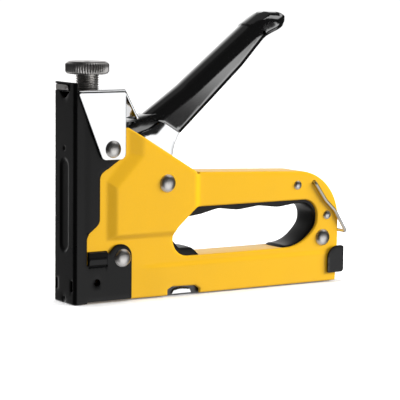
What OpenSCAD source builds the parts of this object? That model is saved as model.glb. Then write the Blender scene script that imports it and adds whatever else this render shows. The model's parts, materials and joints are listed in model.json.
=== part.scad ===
// Hand-operated heavy-duty staple gun, in millimetres.
// The nose points to -X, the handle tip to +X and +Z is up. Drawing coordinates start at the nose
// face (x), the middle plane (y) and the ground (z); in_frame() moves them so that the origin is
// below the middle of the whole tool.

/* [Body] */
// Length of the casing, from the nose face to its rear
body_len = 170.2; // [165:0.1:180]
// Half width of the flat casing walls
wall_half = 10; // [9.5:0.1:10]
// Thickness of the casing sheet
sheet = 1.2; // [0.8:0.1:1.4]
// How far the mechanism panel stands out of the casing wall
panel_rise = 1.8; // [0.8:0.1:2]
// How far the magazine panel stands out of the casing wall
magazine_rise = 0.7; // [0.3:0.1:0.8]
// Height of the casing top in front of the lever
shoulder_z = 91.3; // [88:0.1:94]

/* [Nose and power screw] */
// Half width of the nose channel
nose_half = 11.5; // [11.5:0.1:12]
// Height of the nose channel
nose_h = 115.4; // [113:0.1:118]
// Thickness of the nose sheet
nose_sheet = 1.4; // [1:0.1:1.4]
// Height of the top face of the spring bracket
bracket_top = 111.6; // [111:0.1:113]
// Radius of the power knob
knob_r = 11.5; // [10:0.1:13]
// Number of flutes round the power knob
knob_flutes = 44; // [24:1:60]
// Outer radius of the screw thread
screw_r = 6.2; // [5:0.1:6.2]
// Pitch of the screw thread
screw_pitch = 1.2; // [0.8:0.1:1.5]

/* [Handle] */
// Distance from the nose face to the handle pivot
pivot_x = 56; // [55:0.1:57]
// Height of the handle pivot
pivot_z = 61.1; // [60:0.1:62]
// Half width of the grip
grip_half = 9.9; // [9.6:0.1:9.9]
// Radius of the long edges of the grip
grip_edge = 7; // [4:0.5:8]

/* [Fasteners and wire] */
// Radius of a large rivet head
rivet_r = 4.6; // [4:0.1:5]
// Radius of a small rivet head
small_rivet_r = 2.5; // [2:0.1:3]
// Radius of the bail wire
wire_r = 0.9; // [0.6:0.1:1]

/* [Hidden] */

$fn = 48;
arc_step = 15;
seam = 0.05;
slack = 0.1;
wire_y = wall_half + 0.3 + wire_r;
bail_bar = [174.6, 28];
overall_len = bail_bar.x + wire_r + 0.03;

yellow = [0.98, 0.74, 0.16];
black = [0.07, 0.07, 0.075];
soft_black = [0.05, 0.05, 0.05];
bright = [0.85, 0.86, 0.88];
steel = [0.62, 0.62, 0.63];
grey = [0.28, 0.28, 0.29];

// ---- where things are, [x, z]
pivot = [pivot_x, pivot_z];
bracket_rivet_at = [22, 80.6];
front_rivet_at = [28.8, 23];
rear_rivet_at = [159.5, 25.3];
small_rivets_at = [[141.8, 55.7], [162.3, 37.9]];
bail_hole = [153, 56.7];
nose_hole = [13.3, 10.9];
screw_x = 13.4;
rod_z = 16.9;

// ---- outlines: each corner is [x, z, radius], listed anticlockwise
shell_corners = [
    [5, 0.3, 0], [body_len - 1.8, 0.3, 0.6], [body_len, 22, 20], [body_len, 62.4, 28],
    [75.4, 66, 2.5], [33.1, shoulder_z, 1.5], [5, shoulder_z, 2]
];
finger_corners = [
    [60.8, 21, 9.4], [144, 21, 24], [155.3, 32.5, 10], [155.3, 47.2, 9],
    [74.9, 47.2, 7], [60.8, 34.8, 9]
];
// the free edge of the finger liner: hump, plain rear end and the finger waves along the top
liner_corners = [
    [61.5, 29.6, 2.5], [65.5, 25.3, 3], [73.5, 25.3, 4], [79.2, 20, 0], [130.6, 20, 0],
    [134.4, 22, 2], [143.4, 22, 20], [154.3, 33, 9], [154.3, 45.2, 8],
    [141.5, 45.2, 8], [130.2, 43.8, 18], [117, 45.4, 12], [103.5, 43.8, 18],
    [90.5, 45.4, 10], [79.5, 42.9, 9], [69.4, 41.6, 3], [61.5, 34.5, 8]
];
nose_side_corners = [
    [0, 0, 0], [7.4, 0, 0], [7.9, 0.8, 0], [34.4, 0.8, 0.8], [34.4, 23.5, 0], [24, 23.5, 0],
    [22.4, 28, 0], [19.6, 24.8, 1], [19.6, 27.3, 0.4], [7.9, 27.3, 0.4], [7.9, 35.2, 5],
    [15.4, 41.8, 5], [15.4, 67.3, 5], [28.6, 76, 0], [27.6, 109.8, 1], [1.8, 109.8, 0],
    [1.8, nose_h - 0.6, 0.5], [0, nose_h, 0]
];
bracket_corners = [
    [16, 75.1, 3], [29.7, 75.1, 3.2], [29.7, bracket_top, 0], [2, bracket_top, 0], [1.9, 109.4, 0]
];
clip_corners = [[162, 5, 1], [173.6, 5.2, 2.2], [173.6, 20.3, 1.5], [162, 20.3, 7]];
// the grip's upper line: mouth, bend and the step in front of the tip
grip_top = [[48, 97.7], [70, 112.4], [110.2, 143.9]];
grip_corners = [
    [grip_top[0].x, grip_top[0].y, 0.4], [65, 87.2, 1], [104, 122.3, 0],
    [119, 138.2, 12], [135.8, 145.6, 1.6], [135.6, 148, 1.6], [129.5, 151.9, 4], [119.5, 150.9, 12],
    [110.8, 145.1, 0.8], [grip_top[2].x, grip_top[2].y, 0.4], [grip_top[1].x, grip_top[1].y, 0]
];
cheek_corners = [
    [64.8, 60, 0], [60.2, 73, 12], [61.9, 81, 10], [67.6, 92.9, 3], [102.4, 122.4, 2],
    [98.8, 129.1, 2], [61.8, 101.4, 2], [57, 97.2, 1], [53.2, 93.4, 1], [47.6, 90.1, 3],
    [41.4, 88.3, 2], [38.4, 84.2, 2], [47.2, 58, 0]
];

// ---- small tools for outlines
function unit(v) = v / norm(v);
function flat(p) = [p.x, p.y];
function wrapped(a) = a > 180 ? a - 360 : a < -180 ? a + 360 : a;

// the points of corner b, rounded between its neighbours a and c
function corner_arc(a, b, c) =
    let (u = unit(flat(a) - flat(b)), v = unit(flat(c) - flat(b)))
    let (half = acos(u * v) / 2, r = b[2])
    let (centre = flat(b) + unit(u + v) * r / sin(half))
    let (p = flat(b) + u * r / tan(half) - centre, q = flat(b) + v * r / tan(half) - centre)
    let (from = atan2(p.y, p.x), turn = wrapped(atan2(q.y, q.x) - from))
    let (n = max(1, ceil(abs(turn) / arc_step)))
    r <= 0 ? [flat(b)]
           : [for (i = [0:n]) centre + r * [cos(from + turn * i / n), sin(from + turn * i / n)]];

function rounded(c) =
    let (n = len(c))
    [for (i = [0:n - 1]) each corner_arc(c[(i + n - 1) % n], c[i], c[(i + 1) % n])];

// the same corners with every edge moved outwards by d
function grown(c, d) =
    let (n = len(c))
    [for (i = [0:n - 1])
        let (u = unit(flat(c[i]) - flat(c[(i + n - 1) % n])),
             v = unit(flat(c[(i + 1) % n]) - flat(c[i])))
        let (out = ([u.y, -u.x] + [v.y, -v.x]) * d / (1 + u * v))
        let (convex = u.x * v.y - u.y * v.x > 0, r = c[i][2])
        [c[i].x + out.x, c[i].y + out.y, r > 0 ? max(r + (convex ? d : -d), 0) : 0]];

module in_frame() translate([-overall_len / 2, 0, 0]) children();

// a flat (x, z) shape made solid between two y values
module slab(y0, y1) translate([0, y1, 0]) rotate([90, 0, 0]) linear_extrude(y1 - y0) children();

module both_sides() {
    children();
    mirror([0, 1, 0]) children();
}

// a round bar across the tool at p = [x, z]
module cross_bar(p, r, y0, y1) translate([p.x, y0, p.y]) rotate([-90, 0, 0]) cylinder(r = r, h = y1 - y0);

module block(lo, hi) translate(lo) cube(hi - lo);

// domed rivet head standing on the plane y
module dome(p, y, r, h) {
    ball = (r * r + h * h) / (2 * h);
    intersection() {
        translate([p.x, y + h - ball, p.y]) sphere(r = ball, $fn = 96);
        cross_bar(p, r, y, y + h);
    }
}

// coil along +Z: the wire's level section, turned up the pitch
module coil(r, wire, pitch, turns, steps = 14, points = 5) {
    rise = pitch / 360;
    reach = wire / rise;
    function side(sign) = [for (i = [0:points])
        let (a = reach * sin(-90 + 180 * i / points))
        let (w = r + sign * sqrt(max(wire * wire - pow(a * rise, 2), 0.0001)))
        w * [cos(a), sin(a)]];
    inner = side(-1);
    linear_extrude(pitch * turns, twist = -360 * turns, slices = steps * turns, $fn = 4)
        polygon(concat(side(1), [for (i = [points:-1:0]) inner[i]]));
}

// ---- casing
// what stands out of the flat wall: the mechanism panel with its long front bevel
module panel_bump(rise) {
    top = wall_half + rise;
    module ramp(x0, x1) linear_extrude(130) polygon([[x0, 5], [x0, wall_half], [x1, top], [220, top], [220, 5]]);
    module below() rotate([90, 0, 90]) linear_extrude(90)
        polygon([[5, 32.4], [wall_half, 32.4], [top, 34.8], [top, 130], [5, 130]]);
    module behind() linear_extrude(130) polygon([[0, 5], [0, top], [73, top], [78, wall_half], [78, 5]]);
    intersection() {
        union() {
            ramp(32.6, 41.5);
            intersection() {
                ramp(19.6, 25.6);
                translate([20, 0, 62.5]) rotate([0, 44, 0]) translate([-1, 0, -60]) ramp(0, 7.2);
            }
        }
        below();
        behind();
        slab(5, 20) polygon(rounded(shell_corners));
    }
}

// the magazine panel along the bottom, with a bevel along its top
module magazine_bump(rise) {
    top = wall_half + rise;
    intersection() {
        rotate([90, 0, 90]) linear_extrude(body_len)
            polygon([[5, 0], [top, 0], [top, 15], [wall_half, 18.4], [5, 18.4]]);
        linear_extrude(30) polygon([[36, 5], [36, wall_half], [39, top], [200, top], [200, 5]]);
        slab(5, 20) polygon(rounded(shell_corners));
    }
}

// one pressed half, on the +Y side
module casing_half() {
    difference() {
        union() {
            difference() {
                union() {
                    slab(seam, wall_half) polygon(rounded(shell_corners));
                    panel_bump(panel_rise);
                    magazine_bump(magazine_rise);
                }
                slab(-1, wall_half - sheet) polygon(rounded(grown(shell_corners, -sheet)));
                translate([0, -sheet, 0]) intersection() {
                    union() {
                        panel_bump(panel_rise);
                        magazine_bump(magazine_rise);
                    }
                    slab(5, 20) polygon(rounded(grown(shell_corners, -sheet)));
                }
            }
            slab(seam, wall_half) polygon(rounded(grown(finger_corners, sheet)));
        }
        slab(-1, 20) polygon(rounded(finger_corners));
        inner_y = wall_half - sheet;
        // open to the nose, the lever, the magazine and the rear of the magazine
        block([0, -1, -1], [9, inner_y, 100]);
        block([0, -1, shoulder_z - 3], [34, inner_y, 100]);
        slab(-1, inner_y) polygon([[32, 89], [74.5, 63.8], [79, 70], [36, 96]]);
        block([0, -1, -1], [200, inner_y, 3]);
        block([160, -1, -1], [200, inner_y + magazine_rise, 20.6]);
        // notch of the bottom edge
        slab(-1, 20) polygon([[57.3, -1], [77.3, -1], [77.3, 2.6], [74.6, 4.6], [60.2, 5], [57.3, 3.4]]);
        // relief where the lever slot ends
        cross_bar([75.9, 66], 0.8, -1, 20);
        // rivet and bail holes
        cross_bar(pivot, 3.02, -1, 20);
        cross_bar(bracket_rivet_at, 2.02, -1, 20);
        cross_bar(front_rivet_at, 2.02, -1, 20);
        cross_bar(rear_rivet_at, 2.02, -1, 20);
        for (p = small_rivets_at) cross_bar(p, 1.22, -1, 20);
        cross_bar(bail_hole, wire_r + 0.08, -1, 20);
        cross_bar(nose_hole, 2.1, -1, 20);
    }
}

module casing_left() color(yellow) in_frame() mirror([0, 1, 0]) casing_half();

module casing_right() color(yellow) in_frame() casing_half();

// ---- nose
module nose_side() {
    difference() {
        union() {
            slab(nose_half - nose_sheet, nose_half) {
                polygon(rounded(nose_side_corners));
                translate([27.6, 23.5]) circle(r = 6.8);
            }
            // pressed louvre
            translate([8.1, 0, 0]) rotate([90, 0, 90]) linear_extrude(11.3) polygon([
                [nose_half - 0.2, 27.1], [nose_half + 0.9, 23.9], [nose_half + 0.5, 20], [nose_half - 0.2, 20]
            ]);
        }
        cross_bar(nose_hole, 1.9, 0, 20);
        cross_bar(front_rivet_at, 2.02, 0, 20);
        cross_bar(bracket_rivet_at, 2.02, 0, 20);
    }
}

module nose_front() {
    difference() {
        block([0, -nose_half, 0], [nose_sheet, nose_half, nose_h]);
        // notch over the outlet, the two small slots and the dimple
        block([-1, -1.5, -1], [5, 1.5, 3.6]);
        both_sides() for (z = [7.6, 11.4]) translate([-1, 8.2, z]) rotate([0, 90, 0]) cylinder(r = 1.2, h = 5);
        both_sides() block([-1, 7, 7.6], [5, 9.4, 11.4]);
        translate([-1, 0, 81.2]) rotate([0, 90, 0]) cylinder(r = 1.3, h = 1.6);
        // long pressed rib
        block([-1, -4.6, 31.4], [0.5, 4.6, 71.4]);
        for (z = [31.4, 71.4]) translate([-1, 0, z]) rotate([0, 90, 0]) cylinder(r = 4.6, h = 1.5);
        // V opening at the top, and the seat of the clip
        translate([-1, 0, 0]) rotate([90, 0, 90]) linear_extrude(5)
            polygon([[-5.8, 111.6], [-5.8, 110.4], [-1, 107.2], [1, 107.2], [5.8, 110.4], [5.8, 111.6]]);
        block([-1, -6, 111], [0.9, nose_half + 1, 114.2]);
    }
}

module nose_channel() color(black) in_frame() intersection() {
    union() {
        nose_front();
        both_sides() nose_side();
    }
    // the two long bends
    union() {
        block([2, -20, -1], [60, 20, nose_h + 1]);
        block([0, -nose_half + 2, -1], [3, nose_half - 2, nose_h + 1]);
        for (s = [-1, 1]) translate([2, s * (nose_half - 2), -1]) cylinder(r = 2, h = nose_h + 2);
    }
}

module nose_clip() color(bright) in_frame() difference() {
    union() {
        block([0.05, -2.6, 111.2], [0.8, nose_half - 1.6, 114]);
        translate([0.05, -2.6, 112.6]) rotate([0, 90, 0]) cylinder(r = 1.4, h = 0.75);
        block([0.05, -4.4, 111.2], [0.8, -2.6, 112.4]);
    }
    translate([-1, -2, 112.6]) rotate([0, 90, 0]) cylinder(r = 0.6, h = 3);
}

// ---- power spring, its bracket and screw
bracket_in = nose_half + slack;
bracket_out = bracket_in + 1.2;

module spring_bracket() color(bright) in_frame() difference() {
    union() {
        both_sides() slab(bracket_in, bracket_out) polygon(rounded(bracket_corners));
        block([2, -bracket_out, bracket_top - 1.2], [29.7, bracket_out, bracket_top]);
        // sloping rear leaf
        slab(-9.6, 9.6) polygon([[29, bracket_top - 1.2], [38.3, 94.8], [39.4, 95.4], [30.6, bracket_top], [29, bracket_top]]);
    }
    translate([screw_x, 0, 100]) cylinder(r = screw_r + 0.08, h = 20);
    both_sides() cross_bar(bracket_rivet_at, 2.02, 0, 20);
}

module bracket_rivets() color(steel) in_frame() both_sides() {
    dome(bracket_rivet_at, bracket_out, rivet_r, 2.2);
    cross_bar(bracket_rivet_at, 2, wall_half - sheet - 0.4, bracket_out);
    cross_bar(bracket_rivet_at, 2.8, wall_half - sheet - 0.8, wall_half - sheet);
}

// knob with knurled band, washer face, threaded neck and plain tip
module power_knob() color(bright) in_frame() translate([screw_x, 0, 0]) {
    band_lo = 120.1;
    band_hi = 124.8;
    difference() {
        rotate_extrude($fn = 96) polygon([
            [0, 119.3], [knob_r - 1.2, 119.3], [knob_r - 0.5, 120], [knob_r - 0.5, 125], [knob_r - 1.3, 126],
            [knob_r - 2.6, 126], [knob_r - 3, 125.8], [0, 125.8]
        ]);
        translate([0, 0, 125.3]) cylinder(r = 1.6, h = 2);
    }
    translate([0, 0, band_lo]) linear_extrude(band_hi - band_lo) polygon([
        for (i = [0:knob_flutes - 1], k = [0:3])
            let (a = 360 * (i + k / 4) / knob_flutes, r = knob_r - (k < 2 ? 0 : 0.7))
            r * [cos(a), sin(a)]
    ]);
    threads = floor((119.3 - bracket_top + 3) / screw_pitch);
    low = 119.3 - threads * screw_pitch;
    rotate_extrude() polygon([
        [0, 107.2], [screw_r - 1.2, 107.2], [screw_r - 0.7, 107.8], [screw_r - 0.7, low],
        for (i = [0:threads - 1]) each [
            [screw_r, low + (i + 0.4) * screw_pitch], [screw_r, low + (i + 0.6) * screw_pitch],
            [screw_r - 0.7, low + (i + 1) * screw_pitch]
        ],
        [0, 119.3]
    ]);
}

module spring_seat() color(steel) in_frame() translate([screw_x, 0, 0]) {
    translate([0, 0, 104.2]) cylinder(r = 7, h = 2.8);
    translate([0, 0, 100.8]) cylinder(r = 4.2, h = 3.5);
}

main_spring_r = 5.9;
module main_spring() color(steel) in_frame() translate([screw_x, 0, 60.1])
    coil(main_spring_r, 1, 7.08, 6.2, 14, 5);

// ---- hammer and driver
module hammer() color(grey) in_frame() difference() {
    union() {
        block([3.2, -6.5, 54], [6, 6.5, 88]);
        block([3.2, -6.5, 54], [28.2, 6.5, 60]);
        translate([screw_x, 0, 59.5]) cylinder(r = 4.2, h = 3.5);
    }
    for (z = [70, 80]) translate([0, 0, z]) rotate([0, 90, 0]) cylinder(r = 1.62, h = 10);
    both_sides() block([22, 4.4, 50], [40, 10, 64]);
}

module driver_blade() color(bright) in_frame() difference() {
    block([2.1, -5.7, 0.6], [3.1, 5.7, 86]);
    for (z = [70, 80]) translate([0, 0, z]) rotate([0, 90, 0]) cylinder(r = 1.62, h = 10);
}

module hammer_pins() color(steel) in_frame()
    for (z = [70, 80]) translate([1.9, 0, z]) rotate([0, 90, 0]) cylinder(r = 1.6, h = 4.2);

module bumper_pad() color(soft_black) in_frame() difference() {
    block([4, -6, 48.4], [20, 6, 53.4]);
    for (x = [8, 12, 16]) translate([x, -7, 53.4]) rotate([-90, 0, 0]) cylinder(r = 0.8, h = 14);
}

module bumper_stop() color(steel) in_frame() block([4, -8.6, 43.6], [20, 8.6, 48.3]);

// ---- handle
finger = [28, 50.6];
lift_r = 37.2;

module handle_lever() color(bright) in_frame() difference() {
    union() {
        both_sides() slab(7.3, 8.5) {
            polygon(rounded(cheek_corners));
            translate(pivot) circle(r = 9);
        }
        // web over the two cheeks, inside the grip
        slab(-8, 8) polygon([[61.8, 101.4], [62.5, 100.5], [98.3, 127.3], [98.8, 129.1], [98, 128.5]]);
    }
    cross_bar(pivot, 3.08, -20, 20);
}

module lifting_lever() color(black) in_frame() difference() {
    along = unit(finger - pivot);
    across = [along.y, -along.x];
    union() {
        // curved front that closes the gap under the bracket
        slab(-6.6, 6.6) polygon(concat([pivot], [for (a = [96:4:128]) pivot + lift_r * [cos(a), sin(a)]]));
        cross_bar(pivot, 8.5, -6.6, 6.6);
        // finger that lifts the hammer
        slab(-3.8, 3.8) polygon([
            pivot + 6 * across, pivot - 6 * across, finger - 2.7 * across, finger + 2.7 * across
        ]);
        cross_bar(finger, 3, -3.8, 3.8);
    }
    cross_bar(pivot, 3.08, -20, 20);
}

// grip section with its two long edges rounded, run along the line from a to b and past both ends
module grip_run(a, b, lift, before, after) translate([a.x, 0, a.y])
    rotate([0, -atan2(b.y - a.y, b.x - a.x), 0])
    translate([-before, 0, lift]) rotate([90, 0, 90]) linear_extrude(before + norm(b - a) + after) {
        // a little wider than the grip, so that the round edge ends in a crease
        half = grip_half + 0.15;
        translate([-half, -60]) square([2 * half, 60 - grip_edge]);
        translate([-half + grip_edge, -60]) square([2 * (half - grip_edge), 60]);
        for (s = [-1, 1]) translate([s * (half - grip_edge), -grip_edge]) circle(r = grip_edge);
    }

module handle_grip() color(soft_black) in_frame() difference() {
    intersection() {
        slab(-grip_half, grip_half) polygon(rounded(grip_corners));
        union() {
            grip_run(grip_top[0], grip_top[1], 0.3, 20, 12);
            grip_run(grip_top[1], grip_top[2], 0.3, 12, 0.3);
            grip_run(grip_top[2], 2 * grip_top[2] - grip_top[1], 2.4, 0, 20);
        }
        // round end, seen from above
        union() {
            translate([40, -20, 60]) cube([87, 40, 120]);
            translate([125.3, 0, 60]) cylinder(r = 10.6, h = 120);
        }
    }
    // channel for the lever
    slab(-8.7, 8.7) polygon([
        [40, 88], [60, 80], [110, 118.5], [112, 125], [100.9, 131.2], [61, 101.35], [45.5, 91]
    ]);
    cross_bar(pivot, lift_r + 0.4, -6.9, 6.9);
    cross_bar([118, 140.3], 1.2, -20, 20);
}

module pivot_rivet() color(steel) in_frame() {
    both_sides() dome(pivot, wall_half + panel_rise, rivet_r, 2);
    cross_bar(pivot, 3, -wall_half - panel_rise, wall_half + panel_rise);
}

module pivot_washers() color(steel) in_frame() both_sides() difference() {
    cross_bar(pivot, 6.5, 8.6, 10.4);
    cross_bar(pivot, 3.05, 8, 12);
}

// ---- other rivets
module long_rivet(p, r, h, y, shank) {
    both_sides() dome(p, y, r, h);
    cross_bar(p, shank, -y, y);
}

module front_rivet() color(steel) in_frame() long_rivet(front_rivet_at, rivet_r, 2, nose_half, 2);

module rear_rivet() color(steel) in_frame() long_rivet(rear_rivet_at, rivet_r - 0.1, 2, wall_half, 2);

module small_rivets() color(steel) in_frame()
    for (p = small_rivets_at) long_rivet(p, small_rivet_r, 1.2, wall_half, 1.2);

module rivet_spacers() color(steel) in_frame() {
    inner_y = wall_half - sheet - 0.1;
    for (p = [front_rivet_at, rear_rivet_at]) difference() {
        cross_bar(p, 3.3, -inner_y, inner_y);
        cross_bar(p, 2.05, -20, 20);
    }
}

// ---- finger opening liner
module finger_liner() color(soft_black) in_frame() slab(-wall_half + 1.4, wall_half - 1.4) difference() {
    polygon(rounded(grown(finger_corners, -0.1)));
    polygon(rounded(liner_corners));
}

// ---- wire bail: two legs and a cross bar, hooked into the casing
bail_path = [bail_hole, [160.4, 46.4], [166.8, 40.4], bail_bar];

module wire_bail() color(bright) in_frame() {
    both_sides() {
        cross_bar(bail_hole, wire_r, wall_half - sheet - 1.5, wire_y);
        for (i = [0:len(bail_path) - 2]) {
            a = bail_path[i];
            b = bail_path[i + 1];
            translate([a.x, wire_y, a.y]) {
                sphere(r = wire_r + 0.03);
                rotate([0, 90 - atan2(b.y - a.y, b.x - a.x), 0]) cylinder(r = wire_r, h = norm(b - a));
            }
        }
        translate([bail_bar.x, wire_y, bail_bar.y]) sphere(r = wire_r + 0.03);
    }
    cross_bar(bail_bar, wire_r, -wire_y, wire_y);
}

// ---- magazine
mag_front = 3.5;

module magazine_channel() color(grey) in_frame() difference() {
    block([mag_front, -7.8, 0], [167, 7.8, 14.8]);
    block([0, -7, 0.8], [200, 7, 20]);
}

module staple_rail() color(steel) in_frame() difference() {
    block([mag_front, -5, 0.85], [163, 5, 12.6]);
    block([0, -4.2, -1], [200, 4.2, 11.8]);
}

module magazine_catch() color(bright) in_frame() both_sides()
    slab(7.9, 8.7) polygon(rounded([[59.4, 0.3, 0], [74.6, 0.3, 0], [71.5, 3.4, 2], [62.8, 4.4, 2.5]]));

module staple_pusher() color(steel) in_frame() difference() {
    union() {
        block([4.2, -6.7, 2], [16, 6.7, 14.5]);
        block([5.4, -2.6, 14], [14, 2.6, 19.2]);
    }
    block([0, -5.3, 0], [30, 5.3, 12.9]);
    translate([0, 0, rod_z]) rotate([0, 90, 0]) cylinder(r = 1.16, h = 30);
}

module pusher_rod() color(steel) in_frame() translate([3.6, 0, rod_z]) rotate([0, 90, 0]) {
    cylinder(r = 1.1, h = 169.8);
    cylinder(r = 1.7, h = 1.2);
}

// U-shaped pull clip, with its boss for the rod
module rear_clip() color(grey) in_frame() difference() {
    union() {
        slab(-12.2, 12.2) polygon(rounded(clip_corners));
    }
    block([100, -11.1, 0], [172.5, 11.1, 30]);
    translate([160, 0, rod_z]) rotate([0, 90, 0]) cylinder(r = 1.12, h = 30);
}

module pusher_spring() color(steel) in_frame() translate([16.2, 0, rod_z]) rotate([0, 90, 0])
    coil(1.65, 0.3, 7.05, 22, 9, 2);

casing_left();
casing_right();
nose_channel();
nose_clip();
spring_bracket();
bracket_rivets();
power_knob();
spring_seat();
main_spring();
hammer();
driver_blade();
hammer_pins();
bumper_pad();
bumper_stop();
handle_lever();
lifting_lever();
handle_grip();
pivot_rivet();
pivot_washers();
front_rivet();
rear_rivet();
small_rivets();
rivet_spacers();
finger_liner();
wire_bail();
magazine_channel();
staple_rail();
magazine_catch();
staple_pusher();
pusher_rod();
rear_clip();
pusher_spring();
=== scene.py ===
import json
import math

import bmesh
import bpy
import numpy as np
from mathutils import Matrix, Vector
from mathutils.geometry import delaunay_2d_cdt


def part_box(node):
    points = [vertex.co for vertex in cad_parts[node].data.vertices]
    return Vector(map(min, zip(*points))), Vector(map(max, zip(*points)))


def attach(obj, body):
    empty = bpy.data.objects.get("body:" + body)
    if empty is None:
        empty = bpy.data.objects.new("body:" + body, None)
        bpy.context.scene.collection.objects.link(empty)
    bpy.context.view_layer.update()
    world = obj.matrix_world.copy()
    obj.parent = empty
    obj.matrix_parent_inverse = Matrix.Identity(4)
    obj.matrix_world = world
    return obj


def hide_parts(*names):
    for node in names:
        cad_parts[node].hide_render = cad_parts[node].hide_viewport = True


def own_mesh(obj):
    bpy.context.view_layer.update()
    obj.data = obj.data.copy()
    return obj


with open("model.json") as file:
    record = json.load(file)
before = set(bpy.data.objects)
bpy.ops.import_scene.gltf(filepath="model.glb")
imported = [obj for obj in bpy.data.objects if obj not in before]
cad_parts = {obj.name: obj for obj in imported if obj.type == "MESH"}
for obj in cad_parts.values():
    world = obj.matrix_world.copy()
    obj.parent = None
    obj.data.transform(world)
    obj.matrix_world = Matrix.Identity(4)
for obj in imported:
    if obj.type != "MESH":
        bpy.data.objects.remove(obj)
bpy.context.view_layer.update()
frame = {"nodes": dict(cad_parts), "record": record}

# Drawing coordinates are millimetres from the nose face, the middle plane and the ground.
MM = 0.001
NOSE_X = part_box("nose_channel")[0].x / MM
SLOTS = {m["slot"]: m for m in frame["record"]["materials"]}
PAINT = {}


def span(node):
    """A node's lowest and highest corner in drawing millimetres."""
    lo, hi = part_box(node)
    return [(lo.x / MM - NOSE_X, lo.y / MM, lo.z / MM), (hi.x / MM - NOSE_X, hi.y / MM, hi.z / MM)]


# ---- outlines
def unit(v):
    """A vector's direction."""
    return v / np.linalg.norm(v)


def turned(v, a):
    """A flat vector turned anticlockwise."""
    return np.array([v[0] * math.cos(a) - v[1] * math.sin(a), v[0] * math.sin(a) + v[1] * math.cos(a)])


def mirrored(side):
    """The other half of an outline that is the same on both sides of u = 0."""
    return [(-u, v, r) for u, v, r in side[::-1]]


def both_sides(a, b, *rest):
    """The zone from a to b, after its mirror image."""
    return [(-b, -a, *rest), (a, b, *rest)]


# how far a cut line piece is bowed, so that no three of its points are in line
BOW = 1.5e-5
# how far grid points stay from a crease, and crease points from an edge
CREASE_CLEAR, CREASE_REACH = 0.35, 0.2


class Outline:
    """A closed outline of [u, v, radius] corners, anticlockwise. ring(d) is the outline moved outwards by d,
    always with the same number of points, so that rings can be joined by quads."""

    def __init__(self, corners, longest=2.0, arc=9.0):
        self.corners = [(float(c[0]), float(c[1]), float(c[2]) if len(c) > 2 else 0.0) for c in corners]
        self.arc = math.radians(arc)
        base = self.bare(0.0)
        gaps = np.linalg.norm(np.roll(base, -1, 0) - base, axis=1)
        self.cuts = [max(1, math.ceil(g / longest - 1e-6)) for g in gaps]

    def bare(self, d):
        n = len(self.corners)
        p = [np.array(c[:2]) for c in self.corners]
        u = [unit(p[(i + 1) % n] - p[i]) for i in range(n)]
        out = []
        for i in range(n):
            a, b, r = u[i - 1], u[i], self.corners[i][2]
            q = p[i] + (np.array([a[1], -a[0]]) + np.array([b[1], -b[0]])) * d / (1 + a @ b)
            turn = math.atan2(a[0] * b[1] - a[1] * b[0], a @ b)
            if r <= 0 or abs(turn) < 1e-6:
                out.append(q)
                continue
            now = max(r + (d if turn > 0 else -d), 0.012)
            steps = max(2, math.ceil(abs(turn) / self.arc))
            start = q - a * now * math.tan(abs(turn) / 2)
            centre = start + math.copysign(now, turn) * np.array([-a[1], a[0]])
            out += [centre + turned(start - centre, turn * k / steps) for k in range(steps + 1)]
        return np.array(out)

    def ring(self, d):
        base = self.bare(d)
        out = []
        for i, cuts in enumerate(self.cuts):
            a, b = base[i], base[(i + 1) % len(base)]
            side = unit(np.array([b[1] - a[1], a[0] - b[0]])) if cuts > 1 else 0
            out += [a + (b - a) * k / cuts + side * BOW * k * (cuts - k) for k in range(cuts)]
        return np.array(out)


def disc(u, v, r, longest=0.6):
    """A round outline."""
    return Outline([(u + r, v + r, r * 0.999), (u - r, v + r, r * 0.999), (u - r, v - r, r * 0.999),
                    (u + r, v - r, r * 0.999)], longest, 15)


def inside(points, ring):
    """Which points lie inside a closed ring."""
    a, b = ring, np.roll(ring, -1, 0)
    x, y = points[:, 0:1], points[:, 1:2]
    crosses = (a[:, 1] > y) != (b[:, 1] > y)
    with np.errstate(divide="ignore", invalid="ignore"):
        at = a[:, 0] + (y - a[:, 1]) * (b[:, 0] - a[:, 0]) / (b[:, 1] - a[:, 1])
    return (np.sum(crosses & (x < at), axis=1) % 2) == 1


def gap(points, a, b):
    """Each point's distance from the line pieces a to b."""
    if not len(points):
        return np.zeros(0)
    best = np.full(len(points), 1e9)
    for p, q in zip(a, b):
        d = q - p
        t = np.clip(((points - p) @ d) / max(d @ d, 1e-12), 0, 1)
        best = np.minimum(best, np.linalg.norm(points - p - t[:, None] * d, axis=1))
    return best


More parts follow.
